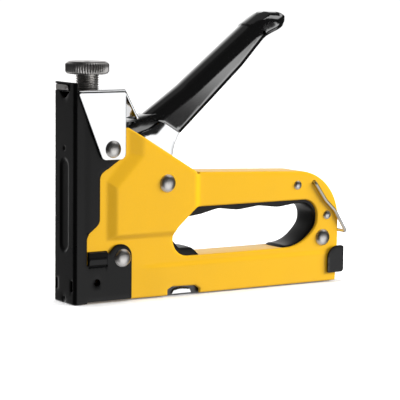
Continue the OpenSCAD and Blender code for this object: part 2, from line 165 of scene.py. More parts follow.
def fill(rings, step, zones=(), seams=()):
    """Triangles over the area inside rings[0] and outside the others: extra points, and triples of indices into
    the rings' points followed by the extra ones. zones are (u0, u1, v0, v1, du, dv) with a finer grid, and seams
    are rows of points that a crease follows."""
    outer = rings[0]
    (u0, v0), (u1, v1) = outer.min(0), outer.max(0)

    def grid(a0, a1, b0, b1, da, db):
        us, vs = np.arange(a0 + da / 2, a1, da), np.arange(b0 + db / 2, b1, db)
        return np.array(np.meshgrid(us, vs)).reshape(2, -1).T

    pts = grid(u0, u1, v0, v1, step, step)
    reach = np.full(len(pts), 0.45 * step)
    for z in zones:
        keep = ~((pts[:, 0] > z[0] - z[4] / 2) & (pts[:, 0] < z[1] + z[4] / 2)
                 & (pts[:, 1] > z[2] - z[5] / 2) & (pts[:, 1] < z[3] + z[5] / 2))
        extra = grid(*z)
        pts = np.vstack([pts[keep], extra])
        reach = np.concatenate([reach[keep], np.full(len(extra), 0.4 * min(z[4], z[5]))])
    if seams:
        clear = np.min([gap(pts, s[:-1], s[1:]) for s in seams], axis=0) > CREASE_CLEAR
        rows = np.vstack(seams)
        pts = np.vstack([pts[clear], rows])
        reach = np.concatenate([reach[clear], np.full(len(rows), CREASE_REACH)])
    ok = inside(pts, outer)
    for r in rings[1:]:
        ok &= ~inside(pts, r)
    pts, reach = pts[ok], reach[ok]
    for r in rings:
        near = gap(pts, r, np.roll(r, -1, 0)) > reach
        pts, reach = pts[near], reach[near]
    base, edges = [], []
    for r in rings:
        k = len(base)
        base += [tuple(p) for p in r]
        edges += [(k + i, k + (i + 1) % len(r)) for i in range(len(r))]
    every = base + [tuple(p) for p in pts]
    co, _, faces, origin, _, _ = delaunay_2d_cdt([Vector(p) for p in every], edges, [], 0, 1e-7)
    where = [o[0] if o else None for o in origin]
    mid = np.array([(co[f[0]] + co[f[1]] + co[f[2]]) / 3 for f in faces])
    size = np.array([abs((co[f[1]] - co[f[0]]).cross(co[f[2]] - co[f[0]])) for f in faces])
    good = inside(mid, outer) & (size > 1e-9)
    for r in rings[1:]:
        good &= ~inside(mid, r)
    tris = [tuple(where[i] for i in f) for f, g in zip(faces, good) if g]
    return pts, [t for t in tris if None not in t and len(set(t)) == 3]


def add_object(name, data):
    """A new object in the scene."""
    obj = bpy.data.objects.new(name, data)
    bpy.context.scene.collection.objects.link(obj)
    return obj


def smooth(mesh, sharp):
    """Smooth shading, with edges above an angle in degrees left sharp."""
    mesh.polygons.foreach_set("use_smooth", [True] * len(mesh.polygons))
    mesh.set_sharp_from_angle(angle=math.radians(sharp))


class Body:
    """Collects vertices (in drawing millimetres) and faces, then becomes one object."""

    def __init__(self):
        self.co, self.faces, self.count = [], [], 0

    def add(self, co):
        k = self.count
        self.co.append(np.asarray(co, float).reshape(-1, 3))
        self.count += len(self.co[-1])
        return k

    def bridge(self, a, b, n):
        self.faces += [(a + i, a + (i + 1) % n, b + (i + 1) % n, b + i) for i in range(n)]

    def grid(self, co, closed_u=False, closed_v=False):
        """co is an (nu, nv, 3) array of points."""
        nu, nv = co.shape[:2]
        k = self.add(co.reshape(-1, 3))
        for i in range(nu if closed_u else nu - 1):
            for j in range(nv if closed_v else nv - 1):
                a, b = (i + 1) % nu, (j + 1) % nv
                self.faces.append((k + i * nv + j, k + a * nv + j, k + a * nv + b, k + i * nv + b))
        return k

    def cap(self, first, n):
        self.faces.append(tuple(range(first, first + n)))

    def make(self, name, sharp=38, merge=0.002):
        mesh = bpy.data.meshes.new(name)
        co = (np.vstack(self.co) + np.array([NOSE_X, 0, 0])) * MM
        mesh.from_pydata([tuple(c) for c in co], [], self.faces)
        bm = bmesh.new()
        bm.from_mesh(mesh)
        bmesh.ops.remove_doubles(bm, verts=bm.verts, dist=merge * MM)
        bmesh.ops.dissolve_degenerate(bm, dist=1e-8, edges=bm.edges)
        loose = [v for v in bm.verts if not v.link_faces]
        bmesh.ops.delete(bm, geom=loose, context="VERTS")
        bmesh.ops.recalc_face_normals(bm, faces=bm.faces)
        bm.to_mesh(mesh)
        bm.free()
        smooth(mesh, sharp)
        return add_object(name, mesh)


def skin(body, outer, holes, front, back, place, step, zones=(), back_step=None, seams=()):
    """A closed sheet: front and back surfaces over an outline with holes, joined round every edge.
    outer and holes are (Outline, path), path a list of (inset, height function) from the front to the back."""
    firsts, lasts = [], []
    for k, (line, path) in enumerate([outer, *holes]):
        rings, starts = [], []
        for inset, height in path:
            r = line.ring(-inset if k == 0 else inset)
            starts.append(body.add(place(r[:, 0], r[:, 1], height(r[:, 0], r[:, 1]))))
            rings.append(r)
        for a, b in zip(starts, starts[1:]):
            body.bridge(a, b, len(rings[0]))
        firsts.append((rings[0], starts[0]))
        lasts.append((rings[-1], starts[-1]))
    back_zones = zones if back_step is None else ()
    for ends, height, size, fine in ((firsts, front, step, zones), (lasts, back, back_step or step, back_zones)):
        pts, tris = fill([r for r, _ in ends], size, fine, seams)
        index = [s + i for r, s in ends for i in range(len(r))]
        if len(pts):
            k = body.add(place(pts[:, 0], pts[:, 1], height(pts[:, 0], pts[:, 1])))
            index += list(range(k, k + len(pts)))
        body.faces += [tuple(index[i] for i in t) for t in tris]


def lip(front, back, r, n=3):
    """The path round a sheet's edge, with both corners rounded."""
    path = []
    for k in range(n + 1):
        a = math.pi / 2 * k / n
        path.append((r * (1 - math.sin(a)), lambda u, v, a=a: front(u, v) - r * (1 - math.cos(a))))
    for k in range(n + 1):
        a = math.pi / 2 * k / n
        path.append((r * (1 - math.cos(a)), lambda u, v, a=a: back(u, v) + r * (1 - math.sin(a))))
    return path


def flat_height(h):
    """The same height everywhere."""
    return lambda u, v: np.full(np.shape(u), float(h))


def upright(u, v, h):
    """A point (u, v) of a side view, h away from the middle plane."""
    return np.stack([u, h, v], -1)


def slab(body, corners, y0, y1, r=0.3, holes=(), step=4.0, longest=3.0, n=3, arc=9.0):
    """A flat plate in the xz plane between two y values, with rounded edges."""
    front, back = flat_height(y1), flat_height(y0)
    line = corners if isinstance(corners, Outline) else Outline(corners, longest, arc)
    skin(body, (line, lip(front, back, r, n)), [(h, lip(front, back, min(r, 0.25), 2)) for h in holes],
         front, back, upright, step)


def lathe(body, profile, place, steps=64):
    """Turns a profile of (radius, height) about an axis; place(a, b, h) puts the point."""
    t = np.linspace(0, 2 * math.pi, steps, endpoint=False)
    r, h = np.array(profile, float).T
    a, b = np.outer(np.cos(t), r), np.outer(np.sin(t), r)
    body.grid(place(a, b, np.broadcast_to(h, a.shape)), closed_u=True)


def tube(body, path, radius, sides=12):
    """A round wire along a path of points, with rounded ends."""
    p = np.asarray(path, float)
    tangent = np.gradient(p, axis=0)
    tangent /= np.linalg.norm(tangent, axis=1)[:, None]
    normal = np.cross(tangent[0], [0.3, 0.9, 0.31])
    rows = []
    for t, c in zip(tangent, p):
        normal = normal - (normal @ t) * t
        normal /= np.linalg.norm(normal)
        other = np.cross(t, normal)
        a = np.linspace(0, 2 * math.pi, sides, endpoint=False)[:, None]
        rows.append(c + radius * (np.cos(a) * normal + np.sin(a) * other))
    for end, way in ((0, -1), (-1, 1)):
        c, t = p[end], tangent[end] * way
        ring = rows[end]
        caps = [c + (ring - c) * math.cos(b) + t * radius * 0.6 * math.sin(b) for b in (0.5, 1.0, 1.35)]
        rows = caps[::-1] + rows if end == 0 else rows + caps
    k = body.grid(np.array(rows), closed_v=True)
    body.cap(k, sides)
    body.cap(k + (len(rows) - 1) * sides, sides)


def bent(corners, longest=0.5, arc=10.0):
    """An open 3-D path with rounded corners: (x, y, z, radius)."""
    p = [np.array(c[:3], float) for c in corners]
    out = [p[0]]
    for i in range(1, len(p) - 1):
        a, b = unit(p[i] - p[i - 1]), unit(p[i + 1] - p[i])
        turn = math.acos(max(-1, min(1, a @ b)))
        r = corners[i][3]
        t = r * math.tan(turn / 2)
        side = unit(b - (b @ a) * a)
        centre = p[i] - a * t + side * r
        n = max(2, math.ceil(math.degrees(turn) / arc))
        out += [centre - side * r * math.cos(turn * k / n) + a * r * math.sin(turn * k / n) for k in range(n + 1)]
    out.append(p[-1])
    full = [out[0]]
    for a, b in zip(out, out[1:]):
        n = max(1, math.ceil(np.linalg.norm(b - a) / longest))
        full += [a + (b - a) * k / n for k in range(1, n + 1)]
    return np.array(full)


def soft(t):
    """A smooth rise from 0 to 1."""
    t = np.clip(t, 0, 1)
    return t * t * (3 - 2 * t)


def ramp(t, k=0.36):
    """A straight rise from 0 to 1 with both ends rounded."""
    t = np.asarray(t, float)
    low = np.clip(t + k / 2, 0, k) ** 2 / (2 * k)
    high = np.clip(1 + k / 2 - t, 0, k) ** 2 / (2 * k)
    return np.where(t < k / 2, low, np.where(t > 1 - k / 2, 1 - high, t))


def wrap(half, r, s, h):
    """Across a bent channel: how far behind its face, and how far to the side, for arc length s and height h."""
    a, flat = np.abs(s), half - r
    turn = np.clip((a - flat) / r, 0, math.pi / 2)
    run = np.maximum(a - flat - r * math.pi / 2, 0)
    back = r - r * np.cos(turn) + run - h * np.cos(turn)
    return back, np.sign(s) * (np.minimum(a, flat) + (r + h) * np.sin(turn))


def carve(piece, operation, tools):
    """Applies boolean tools to a piece and takes them away."""
    for tool in tools:
        cut = piece.modifiers.new("cut", "BOOLEAN")
        cut.operation, cut.solver, cut.object = operation, "EXACT", tool
    bpy.context.view_layer.update()
    done = bpy.data.meshes.new_from_object(piece.evaluated_get(bpy.context.evaluated_depsgraph_get()))
    piece.modifiers.clear()
    piece.data = done
    for tool in tools:
        bpy.data.objects.remove(tool)
    smooth(done, 48)


# ---- finishes
# the values that most of the noise lies between, and how it is made up
NOISE_SPAN = (0.3, 0.7)
CLOUD_SCALE, GRAIN_SHARE = 38.0, 0.45


def node_material(name, slot, rough, vary, grain, bump, bump_scale, stretch=(1, 1, 1), coat=0.0, edge_highlight=0.0,
                  edge_highlight_colour=None, spec=0.5, base=None, ior=1.5):
    """A procedural material in the object's own metres. Colour and roughness vary a little, bump is in millimetres, and
    convex edges are lightened towards a paler colour as a painted highlight."""
    if name in PAINT:
        return PAINT[name]
    colour = base or SLOTS[slot]["base_color"]
    shiny = SLOTS[slot]["class"] in ("chrome", "brushed_steel", "aluminium")
    mat = bpy.data.materials.new(name)
    mat.use_nodes = True
    nt = mat.node_tree
    nt.nodes.clear()
    n, link = nt.nodes.new, nt.links.new
    out, bsdf = n("ShaderNodeOutputMaterial"), n("ShaderNodeBsdfPrincipled")
    link(bsdf.outputs[0], out.inputs[0])
    bsdf.inputs["Metallic"].default_value = 1.0 if shiny else 0.0
    bsdf.inputs["Specular IOR Level"].default_value = spec
    bsdf.inputs["Coat Weight"].default_value = coat
    bsdf.inputs["Coat Roughness"].default_value = 0.1
    bsdf.inputs["IOR"].default_value = ior
    bsdf.inputs["Coat IOR"].default_value = ior
    place, spread = n("ShaderNodeTexCoord"), n("ShaderNodeMapping")
    spread.inputs["Scale"].default_value = stretch
    link(place.outputs["Object"], spread.inputs["Vector"])

    def noise(scale, detail):
        t = n("ShaderNodeTexNoise")
        t.inputs["Scale"].default_value = scale
        t.inputs["Detail"].default_value = detail
        link(spread.outputs[0], t.inputs["Vector"])
        return t

    cloudy, fine = noise(CLOUD_SCALE, 2.0), noise(grain, 4.0)
    blend = n("ShaderNodeMix")
    blend.data_type = "FLOAT"
    blend.inputs[0].default_value = GRAIN_SHARE
    link(cloudy.outputs["Fac"], blend.inputs[2])
    link(fine.outputs["Fac"], blend.inputs[3])
    tones = n("ShaderNodeValToRGB")
    dark = [c * (1 - vary) for c in colour]
    light = [min(1.0, c * (1 + vary)) for c in colour]
    for stop, at, tone in zip(tones.color_ramp.elements, NOISE_SPAN, (dark, light)):
        stop.position, stop.color = at, (*tone, 1)
    link(blend.outputs[0], tones.inputs[0])
    last = tones.outputs[0]
    # painted highlight: convex edges, found by Pointiness, are mixed towards a paler colour in random patches
    if edge_highlight:
        geo, edge = n("ShaderNodeNewGeometry"), n("ShaderNodeMapRange")
        edge.inputs["From Min"].default_value, edge.inputs["From Max"].default_value = 0.52, 0.62
        edge.inputs["To Max"].default_value = edge_highlight
        link(geo.outputs["Pointiness"], edge.inputs["Value"])
        spots, amount = noise(260.0, 5.0), n("ShaderNodeMath")
        amount.operation = "MULTIPLY"
        link(edge.outputs[0], amount.inputs[0])
        link(spots.outputs["Fac"], amount.inputs[1])
        mix = n("ShaderNodeMix")
        mix.data_type = "RGBA"
        link(amount.outputs[0], mix.inputs[0])
        link(last, mix.inputs[6])
        mix.inputs[7].default_value = (*(edge_highlight_colour or light), 1)
        last = mix.outputs[2]
    link(last, bsdf.inputs["Base Color"])
    spread_rough = n("ShaderNodeMapRange")
    spread_rough.inputs["From Min"].default_value, spread_rough.inputs["From Max"].default_value = NOISE_SPAN
    spread_rough.inputs["To Min"].default_value, spread_rough.inputs["To Max"].default_value = rough
    link(blend.outputs[0], spread_rough.inputs["Value"])
    link(spread_rough.outputs[0], bsdf.inputs["Roughness"])
    relief, texture = n("ShaderNodeBump"), noise(bump_scale, 3.0)
    relief.inputs["Strength"].default_value = min(1.0, bump * 8)
    relief.inputs["Distance"].default_value = bump * MM
    link(texture.outputs["Fac"], relief.inputs["Height"])
    link(relief.outputs[0], bsdf.inputs["Normal"])
    mat.diffuse_color = (*colour, 1)
    PAINT[name] = mat
    return mat


def yellow():
    # the edges are lightened to a paler yellow: a painted highlight
    return node_material("yellow_powder_coat", "yellow_paint", rough=(0.30, 0.38), vary=0.035, grain=1500,
                         bump=0.004, bump_scale=1400, edge_highlight=0.25, edge_highlight_colour=(1.0, 0.62, 0.1),
                         base=(0.95, 0.52, 0.012))


def black():
    # the edges are lightened to dark grey: a painted highlight
    return node_material("black_satin_coat", "black_paint", rough=(0.26, 0.34), vary=0.25, grain=1800, spec=0.28,
                         bump=0.004, bump_scale=2200, edge_highlight=0.4, edge_highlight_colour=(0.03, 0.03, 0.031),
                         base=(0.0035, 0.0035, 0.0037))


def gloss_black():
    return node_material("black_gloss_lacquer", "black_paint", rough=(0.1, 0.16), vary=0.25, grain=1600, coat=1.0,
                         spec=0.6, ior=1.8, bump=0.002, bump_scale=1500, base=(0.003, 0.003, 0.0032))


def chrome():
    return node_material("polished_chrome", "bright_chrome", rough=(0.06, 0.12), vary=0.03, grain=700,
                         bump=0.002, bump_scale=500, stretch=(1, 1, 3))


def nickel():
    return node_material("polished_rivet_steel", "rivet_steel", rough=(0.3, 0.4), vary=0.05, grain=1600,
                         bump=0.006, bump_scale=1500)


def zinc():
    return node_material("zinc_plated_steel", "plain_steel", rough=(0.24, 0.38), vary=0.12, grain=1200,
                         bump=0.01, bump_scale=900, stretch=(0.15, 1, 1))


def dark_steel():
    # the edges are lightened to mid grey: a painted highlight
    return node_material("blackened_steel", "dark_steel", rough=(0.3, 0.4), vary=0.12, grain=1400,
                         base=(0.055, 0.055, 0.056), bump=0.008, bump_scale=1100, stretch=(0.3, 1, 1), edge_highlight=0.5,
                         edge_highlight_colour=(0.3, 0.3, 0.3))


def grip_plastic():
    return node_material("grip_gloss_plastic", "grip_plastic", rough=(0.08, 0.12), vary=0.3, grain=1300, coat=1.0,
                         spec=1.0, ior=1.95, bump=0.002, bump_scale=1200, base=(0.0025, 0.0025, 0.0027))


def liner_plastic():
    # the edges are lightened to dark grey: a painted highlight
    return node_material("liner_satin_plastic", "liner_plastic", rough=(0.32, 0.42), vary=0.3, grain=1500,
                         spec=0.35, bump=0.012, bump_scale=1700, edge_highlight=0.3, edge_highlight_colour=(0.03, 0.028, 0.025),
                         base=(0.004, 0.0038, 0.0036))


def rubber():
    return node_material("bumper_rubber", "black_rubber", rough=(0.6, 0.75), vary=0.25, grain=1500,
                         bump=0.03, bump_scale=1500)


def fit(piece, body, slot, material, *nodes):
    """Gives a new piece its body and its finish, and hides the CAD nodes it stands for."""
    piece.data.materials.clear()
    piece.data.materials.append(material)
    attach(piece, body)
    if nodes:
        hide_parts(*nodes)
    return piece


# ---- casing
WALL, SHEET, SEAM, EDGE_R = 10.0, 1.2, 0.05, 1.0
SHOULDER = 91.3
REAR = span("casing_left")[1][0]
SHELL = [
    (5, 0.3, 0), (57.3, 0.3, 0.3), (57.3, 3.6, 0.8), (60.2, 5, 0.8), (74.6, 4.6, 0.8), (77.3, 2.8, 0.8),
    (77.3, 0.3, 0.3), (REAR - 1.8, 0.3, 0.8), (REAR, 22, 20), (REAR, 62.4, 28),
    (77.4, 66, 0.4), (76.6, 65.1, 0.35), (75.5, 65.2, 0.35), (74.6, 66.48, 0.4),
    (33.1, SHOULDER, 1.5), (5, SHOULDER, 2)
]
FINGER = [(60.8, 21, 9.4), (144, 21, 24), (155.3, 32.5, 10), (155.3, 47.2, 9), (74.9, 47.2, 7), (60.8, 34.8, 9)]


def panel(x, z):
    """The mechanism panel's rise, with its long front bevel."""
    c, s = math.cos(math.radians(44)), math.sin(math.radians(44))
    upper = ramp((x - 33.0) / 8.1)
    slant = np.minimum(ramp((x - 19.8) / 5.6), ramp(((x - 20) * c - (z - 62.5) * s + 1) / 6.6))
    rise = np.maximum(upper, slant)
    return 1.8 * np.minimum(rise, ramp((z - 32.4) / 2.8)) * soft((78 - x) / 5)


def magazine_panel(x, z):
    """The rise along the magazine, below its bead line."""
    return 0.7 * soft((x - 34) / 24) * soft((18.2 - z) / 2.4)


def casing_half(name, side, node):
    front = lambda u, v: WALL + panel(u, v) + magazine_panel(u, v)
    back = lambda u, v: front(u, v) - SHEET

    def flange(u, v):
        """The edge turns in to the middle plane, except where the casing is open."""
        open_edge = (v < 3.2) | (u < 9) | ((u < 76.6) & (v > 62)) | ((u > 160) & (v < 20.6))
        open_edge |= (v < 6.5) & (u > 55) & (u < 80)
        return np.where(open_edge, back(u, v), SEAM)

    def path(end):
        """Over the rounded edge, in to the end height and back along the inside."""
        p = []
        for k in range(5):
            a = math.pi / 2 * k / 4
            p.append((EDGE_R * (1 - math.sin(a)), lambda u, v, a=a: front(u, v) - EDGE_R * (1 - math.cos(a))))
        return p + [(0.0, end), (SHEET, end), (SHEET, back)]

    body = Body()
    place = lambda u, v, h: np.stack([u, side * h, v], -1)
    zones = [(18, 43, 31, 91, 0.62, 0.62), (44, 80, 31, 36, 0.9, 0.9), (34, 40, 1, 20, 0.8, 0.8),
             (40, 166, 14, 19.5, 1.6, 0.7), (72, 79, 36, 66, 0.9, 0.9)]
    hole = Outline(FINGER, 2.0, 6)
    small = [(0.15, front), (0.0, lambda u, v: front(u, v) - 0.15), (0.0, back)]
    skin(body, (Outline(SHELL, 2.0, 5), path(flange)),
         [(hole, path(flat_height(SEAM))), (disc(153, 56.7, 1.25), small), (disc(13.3, 10.9, 3.1), small)],
         front, back, place, 2.6, zones, back_step=5.0)
    fit(body.make(name, 42), "frame", "yellow_paint", yellow(), node)


casing_half("casing_near", -1, "casing_left")
casing_half("casing_far", 1, "casing_right")

# ---- nose channel
NOSE_HALF, NOSE_T, NOSE_R = 11.5, 1.4, 2.0
NOSE_H = span("nose_channel")[1][2]
BEND = NOSE_HALF - NOSE_R + NOSE_R * math.pi / 2


def across(x):
    """Arc length round the nose for a point x behind its face."""
    if x >= NOSE_R:
        return BEND + x - NOSE_R
    return NOSE_HALF - NOSE_R + NOSE_R * math.acos(1 - x / NOSE_R)


NOSE_SIDE = [
    (7.4, 0, 0.3), (7.9, 0.8, 0.3), (34.4, 0.8, 0.8), (34.4, 30.3, 6.7), (24.9, 30.3, 5), (19.6, 24.8, 0.8),
    (19.6, 27.3, 0.4), (8.2, 27.3, 0.1), (8.2, 20.2, 0.1), (7.45, 20.2, 0.1), (7.45, 35.6, 5), (15.4, 41.8, 5),
    (15.4, 67.3, 5), (28.6, 76, 1), (27.6, 109.8, 1.2), (2.2, 109.8, 0.6), (1.8, NOSE_H, 1.0)
]


# the louvre's height at each z
LOUVRE = [(18.7, 0.15), (19.2, -0.5), (19.9, -0.5), (20.3, 0.62), (23.4, 0.95), (23.8, 0.6), (26.7, 0.25),
          (27.1, -0.5)]


def nose():
    right = [(across(x), z, r) for x, z, r in NOSE_SIDE]
    notch = [(-1.6, 0, 0.3), (-1.2, 3.4, 0.6), (1.2, 3.4, 0.6), (1.6, 0, 0.3)]
    line = Outline(notch + right + mirrored(right), 0.9, 8)

    def front(s, z):
        a = np.abs(s)
        # long pressed rib with round ends, and the dimple above it
        d = np.hypot(s, z - np.clip(z, 31.4, 71.4))
        h = -0.75 * soft((4.9 - d) / 1.8)
        h = h - 0.5 * soft((1.5 - np.hypot(s, z - 81.2)) / 0.7)
        # seat of the clip
        h = h - 0.85 * soft((s + 6.2) / 0.5) * soft((z - 110.9) / 0.25) * soft((114.35 - z) / 0.25) * (a < 14)
        # louvre
        x = a - BEND + NOSE_R
        louvre = np.interp(z, *np.transpose(LOUVRE))
        inside_x = soft((x - 8.3) / 0.3) * soft((19.6 - x) / 0.3)
        return h + louvre * inside_x

    back = lambda s, z: np.minimum(front(s, z), 0.9) - NOSE_T
    holes = []
    for s in (-8.2, 8.2):
        slot = [(s + 1.2, 6.4, 1.15), (s + 1.2, 12.6, 1.15), (s - 1.2, 12.6, 1.15), (s - 1.2, 6.4, 1.15)]
        holes.append(Outline(slot, 0.8, 18))
        holes.append(disc(math.copysign(across(13.3), s), 10.9, 1.9, 0.8))
    vee = [(5.85, 110.55, 0.25), (-5.85, 110.55, 0.25), (-1.2, 107.2, 1), (1.2, 107.2, 1)]
    holes.append(Outline(vee, 0.8, 15))

    def place(s, z, h):
        x, y = wrap(NOSE_HALF, NOSE_R, s, h)
        return np.stack([x, y, z], -1)

    zones = [(-6, 6, 25, 78, 0.55, 0.9), (-3, 3, 79, 84, 0.35, 0.35), (-12, 12, 109, 115.2, 0.5, 0.28)]
    bends = both_sides(NOSE_HALF - NOSE_R - 0.7, BEND + 0.9, 0.5, 109, 0.36, 1.6)
    for pair in zip(bends, both_sides(across(7.6), across(20.2), 18.6, 27.2, 0.32, 0.32)):
        zones += pair
    body = Body()
    skin(body, (line, lip(front, back, 0.35, 3)), [(o, lip(front, back, 0.2, 2)) for o in holes],
         front, back, place, 2.4, zones)
    fit(body.make("nose_shell", 40), "frame", "black_paint", black(), "nose_channel")


nose()


def clip_strip():
    body = Body()
    lo, hi = span("nose_clip")
    place = lambda u, v, h: np.stack([-h, u, v], -1)
    front, back = flat_height(-lo[0]), flat_height(-hi[0])
    line = Outline([(-4.4, 111.25, 0.2), (-2.6, 111.3, 0.8), (9.9, 111.2, 0.3), (9.9, 114, 0.3),
                    (-2.4, 114, 1.35), (-3.9, 112.5, 0.6)], 0.8, 12)
    skin(body, (line, lip(front, back, 0.22, 3)), [(disc(-2, 112.6, 0.62, 0.4), lip(front, back, 0.1, 2))],
         front, back, place, 1.2)
    fit(body.make("nose_strip", 40), "frame", "bright_chrome", nickel(), "nose_clip")


clip_strip()

# ---- spring bracket
BRACKET_HALF = span("spring_bracket")[1][1]
BRACKET_TOP = span("spring_bracket")[1][2]


def bracket():
    body = Body()
    r, t = 1.4, 1.2
    down = lambda z: BRACKET_HALF - r + r * math.pi / 2 + (BRACKET_TOP - r - z)
    side = [(down(109.4), 1.9, 0.6), (down(75.1), 16, 3), (down(75.1), 29.7, 3.2)]
    # u is arc length round the section, v is x
    right = [(BRACKET_HALF - 3, 2.0, 0.0)] + side + [(BRACKET_HALF - 3, 29.7, 0.0)]
    line = Outline(right + mirrored(right), 0.9, 8)
    front, back = flat_height(0), flat_height(-t)

    def place(s, x, h):
        below, y = wrap(BRACKET_HALF, r, s, h)
        return np.stack([x, y, BRACKET_TOP - below], -1)

    bend_end = BRACKET_HALF - r + r * math.pi / 2
    zones = both_sides(BRACKET_HALF - r - 0.6, bend_end + 0.9, 2.2, 29.5, 0.26, 1.0)
    skin(body, (line, lip(front, back, 0.22, 3)), [(disc(0, 13.4, 6.3, 0.6), lip(front, back, 0.2, 2))],
         front, back, place, 3.0, zones)
    # sloping rear leaf, bent over the rear end of the top
    lean = math.atan2(BRACKET_TOP - 95.4, 39.4 - 30.6)
    bend_r = 1.3
    flat_run, arc = 2.0, bend_r * lean

    total = flat_run + arc + 17.2
    leaf = Outline([(-9.6, 0, 0), (9.6, 0, 0), (9.6, total, 0.8), (-9.6, total, 0.8)], 0.8, 10)
    leaf_front, leaf_back = flat_height(0), flat_height(-1.15)

    def leaf_full(y, s, h):
        turn = np.clip((s - flat_run) / bend_r, 0, lean)
        run = np.maximum(s - flat_run - arc, 0)
        x = 28.1 + np.minimum(s, flat_run) + (bend_r + h) * np.sin(turn) + run * math.cos(lean)
        z = BRACKET_TOP - 0.03 - bend_r + (bend_r + h) * np.cos(turn) - run * math.sin(lean)
        return np.stack([x, y, z], -1)

    skin(body, (leaf, lip(leaf_front, leaf_back, 0.25, 3)), [], leaf_front, leaf_back, leaf_full, 2.5,
         [(-9.3, 9.3, flat_run - 0.1, flat_run + arc + 0.1, 2.0, 0.25)])
    fit(body.make("bracket_shell", 40), "frame", "bright_chrome", chrome(), "spring_bracket")


bracket()


# ---- rivets
def rivet_head(body, x, z, y, r, h, side):
    """A domed head standing on the plane |y|, with a rounded rim."""
    prof = [(0.0, h)]
    for k in range(1, 13):
        a = math.pi / 2 * k / 12
        prof.append(((r - 0.25) * math.sin(a) ** 0.96, 0.35 + (h - 0.35) * math.cos(a)))
    prof += [(r - 0.06, 0.22), (r, 0.12), (r, 0.0), (0.0, 0.0)]
    lathe(body, prof, lambda a, b, hh: np.stack([x + a, side * (y + hh), z + b], -1), 72)


def rivets(name, node, spots, y, r, h, shank):
    body = Body()
    for x, z in spots:
        for side in (-1, 1):
            rivet_head(body, x, z, y, r, h, side)
        lathe(body, [(0, -y), (shank, -y), (shank, y), (0, y)],
              lambda a, b, hh: np.stack([x + a, hh, z + b], -1), 32)
    fit(body.make(name, 45), "frame", "rivet_steel", nickel(), node)


BRACKET_RIVET, FRONT_RIVET, REAR_RIVET = (22, 80.6), (28.8, 23), (159.5, 25.3)
SMALL_RIVETS = [(141.8, 55.7), (162.3, 37.9)]
PIVOT = (56, 61.1)
rivets("pivot_rivet_head", "pivot_rivet", [PIVOT], 11.8, 4.8, 2.0, 3.0)
rivets("front_rivet_head", "front_rivet", [FRONT_RIVET], 11.5, 4.8, 2.0, 2.0)
rivets("rear_rivet_head", "rear_rivet", [REAR_RIVET], 10, 4.7, 2.0, 2.0)
rivets("small_rivet_heads", "small_rivets", SMALL_RIVETS, 10, 2.5, 1.2, 1.2)


def bracket_rivet_heads():
    body = Body()
    for side in (-1, 1):
        rivet_head(body, *BRACKET_RIVET, BRACKET_HALF, 4.6, 2.15, side)
        lathe(body, [(0, 8.3), (2.8, 8.3), (2.8, 8.7), (2.0, 8.75), (2.0, BRACKET_HALF), (0, BRACKET_HALF)],
              lambda a, b, hh: np.stack([BRACKET_RIVET[0] + a, side * hh, BRACKET_RIVET[1] + b], -1), 32)
    fit(body.make("bracket_rivet_heads", 45), "frame", "rivet_steel", nickel(), "bracket_rivets")


bracket_rivet_heads()

# ---- power knob
KNOB_LO, KNOB_HI = span("power_knob")
SCREW_X, KNOB_R = (KNOB_LO[0] + KNOB_HI[0]) / 2, (KNOB_HI[0] - KNOB_LO[0]) / 2


FLUTES, PITCH = 50, 1.2


def knob():
    body = Body()
    steps = FLUTES * 8
    t = np.linspace(0, 2 * math.pi, steps, endpoint=False)
    top = KNOB_HI[2]
    wave = (0.5 + 0.5 * np.cos(t * FLUTES)) ** 0.8
    # radius, height, depth of the flutes
    rows = [(0, top - 0.9, 0), (1.5, top - 0.9, 0), (1.7, top - 0.25, 0), (8.2, top - 0.2, 0),
            (8.8, top - 0.05, 0), (9.3, top, 0), (9.9, top - 0.12, 0), (10.5, top - 0.5, 0),
            (10.9, top - 0.95, 0.1), (KNOB_R, top - 1.6, 0.62), (KNOB_R, top - 3.2, 0.68),
            (KNOB_R, 120.7, 0.62), (KNOB_R - 0.5, 120.0, 0.1), (KNOB_R - 1.0, 119.5, 0), (KNOB_R - 1.7, 119.3, 0),
            (6.4, 119.3, 0), (6.0, 119.1, 0)]
    co = []
    for r, z, d in rows:
        rr = r - d * (1 - wave)
        co.append(np.stack([SCREW_X + rr * np.cos(t), rr * np.sin(t), np.full(steps, z)], -1))
    # neck with a helical thread down to its plain tip
    low, high = 107.9, 119.0
    for z in np.arange(high, low, -PITCH / 6):
        phase = (z / PITCH - t / (2 * math.pi)) % 1.0
        tri = np.clip(np.abs(phase * 2 - 1) * 1.5 - 0.25, 0, 1)
        fade = min(1.0, (high - z) / 0.8)
        rr = 6.2 - 0.62 * (1 - tri) * fade - 0.1 * (1 - fade)
        co.append(np.stack([SCREW_X + rr * np.cos(t), rr * np.sin(t), np.full(steps, z)], -1))
    for r, z in [(5.6, 107.8), (5.0, KNOB_LO[2]), (0, KNOB_LO[2])]:
        co.append(np.stack([SCREW_X + r * np.cos(t), r * np.sin(t), np.full(steps, z)], -1))
    body.grid(np.array(co), closed_v=True)
    fit(body.make("knurled_knob", 40), "knob", "bright_chrome", nickel(), "power_knob")


knob()


# ---- springs
def helix(x, r, low, high, turns, wire, name, node, body_name, along, per=28):
    """A coil spring about the line at x, or at height x where it lies along x."""
    body = Body()
    steps = int(turns * per)
    a = np.linspace(0, 2 * math.pi * turns, steps + 1)
    h = np.linspace(low + wire, high - wire, steps + 1)
    if along == "z":
        path = np.stack([x + r * np.cos(a), r * np.sin(a), h], -1)
    else:
        path = np.stack([h, r * np.cos(a), x + r * np.sin(a)], -1)
    tube(body, path, wire, 10 if wire > 0.5 else 6)
    piece = body.make(name, 60)
    fit(piece, body_name, "plain_steel", zinc(), node)
    piece.parent = None
    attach(piece, body_name)
    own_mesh(piece)


lo, hi = span("main_spring")
helix(SCREW_X, 5.9, lo[2], hi[2], 7.5, 1.0, "power_spring", "main_spring", "screw_stop", "z")
lo, hi = span("pusher_spring")
helix(16.9, 1.6, lo[0], hi[0], 40, 0.3, "feed_spring", "pusher_spring", "magazine_slide", "x",
      per=12)


